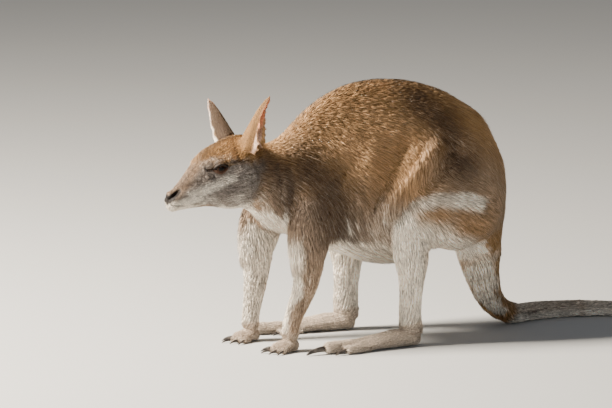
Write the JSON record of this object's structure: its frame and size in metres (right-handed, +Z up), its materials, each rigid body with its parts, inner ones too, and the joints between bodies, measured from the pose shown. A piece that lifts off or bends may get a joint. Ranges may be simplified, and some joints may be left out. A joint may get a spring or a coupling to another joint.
{
  "type": "agile wallaby",
  "caption": "Still life-size agile wallaby standing on all fours, head low and back hunched, long tail laid back on the floor.",
  "frame": {"origin": "floor level, under the middle of the animal's box", "axes": "+Z up, the nose towards -X, the tail towards +X, the animal's left side towards -Y"},
  "size_m": [0.9168, 0.3426, 0.371],
  "materials": {
    "coat_fawn": "short fawn-brown fur with dark ticking, darker on the rump, matte",
    "coat_head": "short ginger to grey-brown fur with a white cheek stripe, matte",
    "coat_ear": "very short sandy fur outside, thin pinkish fur inside, dark rim",
    "coat_pale": "short cream to pale grey fur, matte",
    "nose_skin": "bare, finely pebbled and slightly moist",
    "claw_horn": "smooth dark horn",
    "eye": "wet dark brown eye"
  },
  "bodies": {
    "root": {"neck": "coat_fawn", "shoulders": "coat_fawn", "belly": "coat_fawn", "rump": "coat_fawn", "tail_1": "coat_pale", "tail_2": "coat_pale", "tail_3": "coat_pale", "tail_4": "coat_pale", "head": "coat_head", "muzzle": "coat_head", "nose": "nose_skin", "eye_left": "eye", "ear_left": "coat_ear", "eye_right": "eye", "ear_right": "coat_ear", "thigh_left": "coat_fawn", "shank_left": "coat_pale", "hind_foot_left": "coat_pale", "hind_claw_long_left": "claw_horn", "hind_claw_outer_left": "claw_horn", "hind_claw_twin_outer_left": "claw_horn", "hind_claw_twin_inner_left": "claw_horn", "upper_arm_left": "coat_fawn", "forearm_left": "coat_pale", "forepaw_left": "coat_pale", "forepaw_claw_1_left": "claw_horn", "forepaw_claw_2_left": "claw_horn", "forepaw_claw_3_left": "claw_horn", "forepaw_claw_4_left": "claw_horn", "forepaw_claw_5_left": "claw_horn", "thigh_right": "coat_fawn", "shank_right": "coat_pale", "hind_foot_right": "coat_pale", "hind_claw_long_right": "claw_horn", "hind_claw_outer_right": "claw_horn", "hind_claw_twin_outer_right": "claw_horn", "hind_claw_twin_inner_right": "claw_horn", "upper_arm_right": "coat_fawn", "forearm_right": "coat_pale", "forepaw_right": "coat_pale", "forepaw_claw_1_right": "claw_horn", "forepaw_claw_2_right": "claw_horn", "forepaw_claw_3_right": "claw_horn", "forepaw_claw_4_right": "claw_horn", "forepaw_claw_5_right": "claw_horn"}
  },
  "joints": []
}
